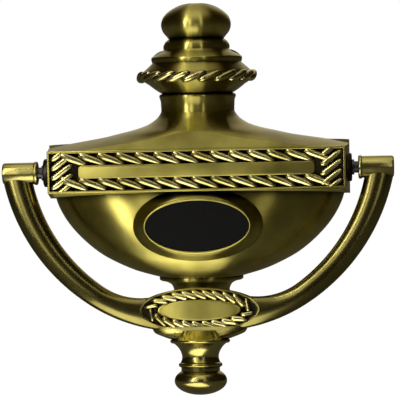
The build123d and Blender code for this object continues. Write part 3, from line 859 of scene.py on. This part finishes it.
def makeBow():
    half, crownHigh, side = arm["halfWidth"][0], arm["crown"][0], arm["side"]
    section = [(half, -arm["back"]), (half, side)]
    section += [
        (half * math.cos(math.radians(a)), side + (crownHigh - side) * math.sin(math.radians(a)))
        for a in range(9, 180, 9)
    ]
    section += [(-half, side), (-half, -arm["back"])]
    start = math.asin((arm["centre"] - arm["startHeight"]) / arm["radius"])
    clearSelection()
    bpy.ops.mesh.primitive_circle_add(vertices=len(section), radius=1)
    bow = bpy.context.object
    for point, (across, out) in zip(bow.data.vertices, section):
        point.co = (arm["radius"] + across, pivot["y"] - out, arm["centre"])
    sweep = math.radians(arm["endAngle"]) - start
    onlySelect(bow)
    bpy.ops.object.mode_set(mode="EDIT")
    bpy.ops.mesh.select_all(action="SELECT")
    centre = (0, pivot["y"], arm["centre"])
    bpy.ops.transform.rotate(value=-start, orient_axis="Y", center_override=centre)
    bpy.ops.mesh.spin(steps=arm["steps"], angle=-sweep, center=centre, axis=(0, 1, 0))
    bpy.ops.mesh.select_all(action="SELECT")
    bpy.ops.mesh.normals_make_consistent(inside=False)
    bpy.ops.object.mode_set(mode="OBJECT")
    # the bow narrows and grows rounder towards the oval
    lowHalf, lowCrown = arm["halfWidth"][1], arm["crown"][1]
    for point in bow.data.vertices:
        dx, dz = point.co.x, point.co.z - arm["centre"]
        reach = math.hypot(dx, dz)
        angle = math.atan2(-dz, dx)
        share = (angle - start) / sweep
        flare = max(0, (math.degrees(angle) - arm["flareAngle"]) / (arm["endAngle"] - arm["flareAngle"]))
        width = half + share * (lowHalf - half) + arm["flare"] * flare ** 2
        middle = arm["radius"] - arm["flareShift"] * flare ** 2
        newReach = middle + (reach - arm["radius"]) * width / half
        point.co.x = newReach * math.cos(angle)
        point.co.z = upright(arm["centre"] - newReach * math.sin(angle))
        out = pivot["y"] - point.co.y
        if out > side:
            crownHeight = crownHigh + share * (lowCrown - crownHigh) - arm["flareCrown"] * flare
            grow = (crownHeight - side) / (crownHigh - side)
            point.co.y = pivot["y"] - side - (out - side) * grow
    onlySelect(bow)
    other = bow.copy()
    other.data = bow.data.copy()
    scene.collection.objects.link(other)
    for point in other.data.vertices:
        point.co.x = -point.co.x
    other.data.flip_normals()
    both = joinPieces("armBow", [bow, other])
    onlySelect(both)
    bpy.ops.object.mode_set(mode="EDIT")
    bpy.ops.mesh.select_all(action="SELECT")
    bpy.ops.mesh.fill_holes(sides=0)
    bpy.ops.object.mode_set(mode="OBJECT")
    return both


# Cuts the bow's ends away inside the oval's border
def openOval(bow):
    wide, high, floor = oval["opening"]
    cutter = stackRings("ovalCutter", [(wide, high, floor), (wide, high, floor + 6)], oval["sides"])
    turnUp(cutter, 90, (0, 0, 0), "X")
    cutter.data.transform(Matrix.Translation((0, pivot["y"], upright(oval["height"]))))
    onlySelect(bow)
    cut = bow.modifiers.new("ovalCut", "BOOLEAN")
    cut.operation = "DIFFERENCE"
    cut.solver = "EXACT"
    cut.object = cutter
    bpy.ops.object.modifier_apply(modifier="ovalCut")
    bpy.data.objects.remove(cutter)


barrel = {
    "profile": [
        (2.35, 63.0), (4.1, 62.5), (4.45, 62.6), (4.6, 62.9), (4.6, 63.5), (4.45, 63.75), (4.25, 63.8),
        (4.25, 69.0), (4.25, 75.2), (4.1, 75.8), (3.7, 76.15), (3.2, 76.2),
    ],
    "sides": 64,
}


def makeBarrels():
    parts = []
    for side in (-1, 1):
        rings = [(r, r, x) for r, x in barrel["profile"]]
        part = stackRings("barrel", rings, barrel["sides"])
        turnUp(part, 90 * side, (0, 0, 0), "Y")
        part.data.transform(Matrix.Translation((0, pivot["y"], pivot["z"])))
        parts.append(part)
    return joinPieces("armBarrels", parts)


oval = {
    "height": -33.05,
    "opening": (23.3, 7.9, 1.2),  # half width, half height, floor
    "rings": [
        (23.9, 8.3, -3.2), (24.2, 8.6, -2.8), (24.2, 8.6, 1.6), (24.0, 8.4, 2.1), (23.6, 8.1, 2.35),
        (23.1, 7.9, 2.35), (22.6, 7.8, 2.2), (22.3, 7.7, 2.0), (22.1, 7.6, 1.92), (21.7, 7.4, 1.9),
        (17.2, 4.6, 1.9), (16.8, 4.3, 2.0), (16.6, 4.15, 2.5), (16.5, 4.1, 3.1), (16.3, 3.95, 3.35),
        (16.0, 3.7, 3.42), (14.4, 3.33, 3.42), (12.0, 2.78, 3.42), (9.6, 2.2, 3.42), (6.4, 1.5, 3.42),
        (3.2, 0.74, 3.42), (0.3, 0.07, 3.42),
    ],
    "sides": 128,
    "plate": (16.55, 4.2, 2.4),  # half width, half height, above this
    "swell": (1.1, 16),  # drop, at this half width
    "field": (8, 10),  # rings at the sunk field's edges
    "fieldMargin": 0.06,
}
ovalStrand = {
    "count": 22,
    "across": (22.2 + 16.5, 7.7 + 4.1),
    "floor": 1.9,
    "slope": 26,
    "length": 8.0,
    "width": 2.9,
    "height": 1.8,
    "sway": 0.15,
    "endSlope": 0.6,
    "endShrink": 0.35,
    "samples": 720,
}


def makeOval():
    thing = stackRings("armOval", oval["rings"], oval["sides"])
    halfWide, halfHigh, above = oval["plate"]
    drop, reach = oval["swell"]
    for point in thing.data.vertices:  # the plate falls away towards its ends
        if point.co.z > above and abs(point.co.x) < halfWide and abs(point.co.y) < halfHigh:
            point.co.z -= drop * (point.co.x / reach) ** 2
    turnUp(thing, 90, (0, 0, 0), "X")
    sunk = [oval["rings"][number][2] for number in oval["field"]]
    margin = oval["fieldMargin"]

    def onSunkField(centre, normal):
        return normal.y < -squareOn and -max(sunk) - margin < centre.y < -min(sunk) + margin

    # painted shade: the oval's sunk field round its rope gets the near-black brass, together with its
    # patina
    shadeFaces(thing, onSunkField)
    thing.data.transform(Matrix.Translation((0, pivot["y"], upright(oval["height"]))))
    return thing


def makeOvalRope():
    z = upright(oval["height"])
    strand = ropeStrand("ovalStrand", ovalStrand)
    strands = []
    wide, high = [across / 2 for across in ovalStrand["across"]]
    # the strands stand at even lengths along the ellipse
    total, stretch, lengths = 0.0, [], ovalStrand["samples"]
    for step in range(lengths):
        a = 2 * math.pi * (step + 0.5) / lengths
        total += math.hypot(wide * math.sin(a), high * math.cos(a))
        stretch.append(total)
    for number in range(ovalStrand["count"]):
        goal = total * (number + 0.5) / ovalStrand["count"]
        step = next(i for i, so in enumerate(stretch) if so >= goal)
        a = 2 * math.pi * (step + 0.5) / lengths
        place = (wide * math.cos(a), pivot["y"] - ovalStrand["floor"], z + high * math.sin(a))
        along = math.degrees(math.atan2(high * math.cos(a), -wide * math.sin(a)))
        bend = abs(math.cos(a)) ** 6
        turn = along - ovalStrand["slope"] * (1 + ovalStrand["endSlope"] * bend)
        copy = layStrand(strand, (0, 0, 0), -turn)
        shrink = 1 - ovalStrand["endShrink"] * bend
        copy.data.transform(Matrix.Diagonal((shrink, 1, shrink, 1)))
        copy.data.transform(Matrix.Translation(place))
        strands.append(copy)
    bpy.data.objects.remove(strand)
    return joinPieces("ovalRope", strands)


tail = {
    "dish": [
        (18.6, 3.6, -39.4), (18.3, 4.4, -40.5), (17.4, 5.2, -41.8), (15.0, 6.6, -42.9), (12.0, 7.9, -44.0),
        (10.6, 8.6, -44.4),
    ],
    "top": (7.5, -40.9),
    "collar": [(11.0, -44.3), (11.55, -44.6), (11.6, -45.2), (11.1, -45.75)],
    "shoulder": [(10.3, -45.8), (9.0, -46.9), (7.9, -48.4), (7.2, -50.2), (7.15, -51.6), (7.6, -53.0)],
    "ring": [(7.9, -53.3), (8.35, -53.6), (8.45, -54.1), (8.35, -54.6), (7.9, -54.9)],
    "groove": [(7.5, -55.1), (7.5, -56.1)],
    "knob": (10.2, 5.5, -60.2),  # radius, half height, middle
    "sides": (128, 96),
}


def makeTail():
    dishSides, finialSides = tail["sides"]
    dish = stackRings("dish", smoothRun([(w, d, upright(z)) for w, d, z in tail["dish"]], 4), dishSides)
    line = [tail["top"]] + roundedProfile([tail["collar"], tail["shoulder"], tail["ring"]], 4)
    line += tail["groove"]
    radius, half, middle = tail["knob"]
    line += [
        (radius * math.cos(math.radians(a)), middle + half * math.sin(math.radians(a)))
        for a in [43, *range(34, -87, -8)]
    ]
    finial = stackRings("finial", [(r, r, upright(z)) for r, z in line], finialSides)
    thing = joinPieces("armTail", [dish, finial])
    thing.data.transform(Matrix.Translation((0, pivot["y"], 0)))
    return thing


strike = {"radius": 5.5, "height": 1.4, "back": 3.2, "root": 0.4, "edge": 0.3, "sides": 64}


def makeStrikeBoss():
    r, back, edge = strike["radius"], strike["back"], strike["edge"]
    top = back + strike["height"]
    rings = [(r, r, back - strike["root"]), (r, r, top - edge), (r - edge, r - edge, top)]
    thing = stackRings("strikeBoss", rings, strike["sides"])
    turnUp(thing, -90, (0, 0, 0), "X")
    thing.data.transform(Matrix.Translation((0, pivot["y"], upright(oval["height"]))))
    return thing


armBow, armBarrels, armTail, strikeBoss = makeBow(), makeBarrels(), makeTail(), makeStrikeBoss()
armOval, ovalRope = makeOval(), makeOvalRope()
openOval(armBow)
for piece in (armBow, armOval, ovalRope, armTail, strikeBoss):
    turnUp(piece, -arm["lean"], (0, pivot["y"], pivot["z"]), "X")
for piece, finish, smooth in (
    (armBow, shadedBowBrass, 32), (armBarrels, turnedBrass, 32), (armTail, turnedBrass, 32),
    (armOval, None, 32), (strikeBoss, turnedBrass, 32), (ovalRope, ropeBrass, 60),
):
    keepPiece(piece, "arm", finish, smooth)
    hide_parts("knocker_arm")
print("knocker arm made")

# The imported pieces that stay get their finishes

stays = {
    "viewer_window": tintedPane,
    "viewer_front_barrel": viewerBrass,
    "viewer_rear_barrel": viewerBrass,
    "lens_spacer": viewerBrass,
    "lens_retaining_ring": viewerBrass,
    "eyepiece_ring": viewerBrass,
    "objective_lens": lensGlass,
    "second_lens": lensGlass,
    "eyepiece_lens": lensGlass,
    "pivot_pin_left": darkSteel,
    "pivot_pin_right": darkSteel,
    "pivot_washer_left": darkSteel,
    "pivot_washer_right": darkSteel,
    "mounting_screw_left": viewerBrass,
    "mounting_screw_right": viewerBrass,
    "cup_washer_left": viewerBrass,
    "cup_washer_right": viewerBrass,
}
for name, finish in stays.items():
    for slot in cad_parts[name].material_slots:
        slot.material = finish
print("finishes given to the packed pieces")

# Floor, lights and camera

studio = {
    "floorHeight": -0.125,
    "floorTone": 0.15,
    "floorGlow": (0.02, 0.95),  # in reflections and for the camera
    "room": (1.0, 0.72, 0.25, 1),
    "dark": 0.012,
    "skies": [  # direction, cosines where the glow starts and is full, strength
        ((0, 0.05, 0.999), 0.84, 0.98, 0.9),
        ((0, 0.9, 0.436), 0.87, 0.98, 0.8),
        ((0, -0.5, 0.866), 0.92, 0.99, 0.9),
    ],
    "lights": {
        "keyStrip": {"angle": -34, "height": 0.68, "distance": 0.8, "size": (0.10, 1.3), "energy": 4.0},
        "leftGlow": {"angle": -18, "height": 0.45, "distance": 1.0, "size": (0.14, 0.9), "energy": 1.05},
        "sideStrip": {"angle": 21, "height": 0.68, "distance": 0.9, "size": (0.07, 1.3), "energy": 0.6},
    },
    "lowStrip": {"place": (-0.04, -0.17, -0.121), "size": (0.16, 0.22), "energy": 0.35},
    "lampTint": (1, 0.985, 0.94),
}


def makeFloor():
    clearSelection()
    bpy.ops.mesh.primitive_plane_add(size=6, location=(0, 0, studio["floorHeight"]))
    floor = bpy.context.object
    floor.name = "floor"
    finish, nodes, links, shader = newFinish("paleFloor")
    shader.inputs["Base Color"].default_value = (studio["floorTone"],) * 3 + (1,)
    shader.inputs["Roughness"].default_value = 0.9
    shader.inputs["Emission Color"].default_value = (1, 1, 1, 1)
    rays = addNode(nodes, "ShaderNodeLightPath")
    glow = addNode(nodes, "ShaderNodeMapRange")
    glow.inputs["To Min"].default_value = studio["floorGlow"][0]
    glow.inputs["To Max"].default_value = studio["floorGlow"][1]
    links.new(rays.outputs["Is Camera Ray"], glow.inputs["Value"])
    links.new(glow.outputs["Result"], shader.inputs["Emission Strength"])
    floor.data.materials.append(finish)


# A rectangular soft light; it shows in reflections, not to the camera
def softLight(name, place, aim, size, energy):
    data = bpy.data.lights.new(name, "AREA")
    data.shape = "RECTANGLE"
    data.size, data.size_y = size
    data.energy = energy
    data.color = studio["lampTint"]
    light = bpy.data.objects.new(name, data)
    scene.collection.objects.link(light)
    light.location = place
    light.rotation_euler = (Vector(aim) - Vector(place)).to_track_quat("-Z", "Y").to_euler()
    light.visible_camera = False


def makeLights():
    for name, lamp in studio["lights"].items():
        turn = math.radians(lamp["angle"])
        place = (lamp["distance"] * math.sin(turn), -lamp["distance"] * math.cos(turn), lamp["height"])
        softLight(name, place, (0, 0, lamp["height"]), lamp["size"], lamp["energy"])
    low = studio["lowStrip"]
    x, y, z = low["place"]
    softLight("lowStrip", low["place"], (x, y, z + 1), low["size"], low["energy"])


# White for the camera; reflections see a dark, warm room with pale patches above and behind
def makeWorld():
    world = bpy.data.worlds.new("studioWorld")
    scene.world = world
    world.use_nodes = True
    nodes, links = world.node_tree.nodes, world.node_tree.links
    back = nodes["Background"]
    place = addNode(nodes, "ShaderNodeTexCoord")
    total = None
    for aim, start, full, strength in studio["skies"]:
        toward = addNode(nodes, "ShaderNodeVectorMath", operation="DOT_PRODUCT")
        toward.inputs[1].default_value = aim
        links.new(place.outputs["Generated"], toward.inputs[0])
        glow = addNode(nodes, "ShaderNodeMapRange", interpolation_type="SMOOTHSTEP")
        glow.inputs["From Min"].default_value = start
        glow.inputs["From Max"].default_value = full
        glow.inputs["To Min"].default_value = studio["dark"] / 2
        glow.inputs["To Max"].default_value = strength
        links.new(toward.outputs["Value"], glow.inputs["Value"])
        if total:
            both = addNode(nodes, "ShaderNodeMath", operation="ADD")
            links.new(total, both.inputs[0])
            links.new(glow.outputs["Result"], both.inputs[1])
            total = both.outputs["Value"]
        else:
            total = glow.outputs["Result"]
    rays = addNode(nodes, "ShaderNodeLightPath")
    choose = addNode(nodes, "ShaderNodeMath", operation="MAXIMUM")
    links.new(rays.outputs["Is Camera Ray"], choose.inputs[0])
    links.new(total, choose.inputs[1])
    links.new(choose.outputs["Value"], back.inputs["Strength"])
    tint = addNode(nodes, "ShaderNodeMix", data_type="RGBA")
    tint.inputs["A"].default_value = studio["room"]
    tint.inputs["B"].default_value = (1, 1, 1, 1)
    links.new(choose.outputs["Value"], tint.inputs["Factor"])
    links.new(tint.outputs["Result"], back.inputs["Color"])


view = {
    "target": (0.0, -0.013, 0.010),
    "yaw": 3.2,
    "elevation": 3.6,
    "roll": -1.3,
    "distance": 0.740,
    "pixels": 1899.0,  # focal length in pixels of the photograph
    "centre": (198.0, 198.3),
    "picture": 400,
    "sensor": 36,
}


def makeCamera():
    data = bpy.data.cameras.new("camera")
    camera = bpy.data.objects.new("camera", data)
    scene.collection.objects.link(camera)
    yaw, rise = math.radians(view["yaw"]), math.radians(view["elevation"])
    back = Vector((math.sin(yaw) * math.cos(rise), -math.cos(yaw) * math.cos(rise), math.sin(rise)))
    camera.location = Vector(view["target"]) + back * view["distance"]
    turn = back.to_track_quat("Z", "Y")
    camera.rotation_mode = "QUATERNION"
    camera.rotation_quaternion = turn @ Quaternion((0, 0, 1), math.radians(view["roll"]))
    picture = view["picture"]
    data.sensor_width = view["sensor"]
    data.lens = view["pixels"] / picture * view["sensor"]
    data.shift_x = (picture / 2 - view["centre"][0]) / picture
    data.shift_y = (view["centre"][1] - picture / 2) / picture
    data.clip_start = 0.01
    scene.camera = camera


makeFloor()
makeWorld()
makeLights()
makeCamera()
scene.view_settings.view_transform = "Standard"
print("studio made")
